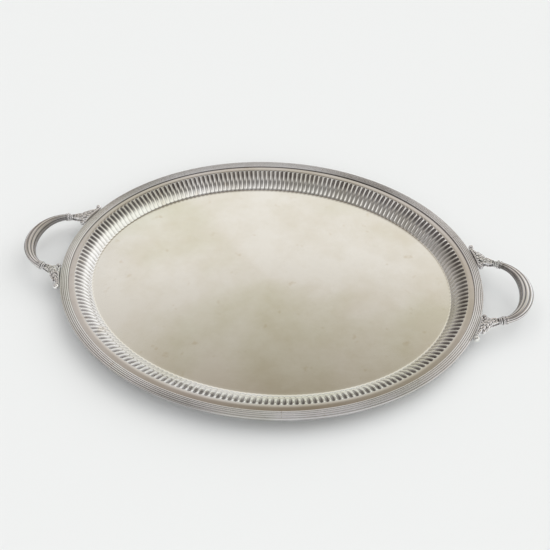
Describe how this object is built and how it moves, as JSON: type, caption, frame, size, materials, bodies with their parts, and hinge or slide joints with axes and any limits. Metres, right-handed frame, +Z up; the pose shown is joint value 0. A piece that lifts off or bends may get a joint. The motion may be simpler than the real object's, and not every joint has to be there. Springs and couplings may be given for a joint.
{
  "type": "oval serving tray with handles",
  "caption": "Oval silver-plate serving tray: flat well, fluted wall, plain flange, reeded border and loop handles on cast leaf terminals.",
  "frame": {"origin": "on the table surface, under the centre of the tray", "axes": "+X along the handles, +Y across the tray, +Z up"},
  "size_m": [0.6322, 0.4276, 0.033],
  "materials": {
    "plated_sheet": "worn silver plate, satin with fine scratches and warm tarnish",
    "reeded_wire": "silver plate, polished on the reed crests and dark between them",
    "grip_silver": "silver plate, rubbed bright on the grip",
    "cast_silver": "silver plate over castings, tarnished dark in the recesses"
  },
  "bodies": {
    "root": {"tray_body": "plated_sheet", "border_length_1": "reeded_wire", "border_length_2": "reeded_wire", "border_length_3": "reeded_wire", "right_grip": "grip_silver", "right_back_collar": "cast_silver", "right_back_terminal": "cast_silver", "right_front_collar": "cast_silver", "right_front_terminal": "cast_silver", "left_grip": "grip_silver", "left_back_collar": "cast_silver", "left_back_terminal": "cast_silver", "left_front_collar": "cast_silver", "left_front_terminal": "cast_silver"}
  },
  "joints": []
}
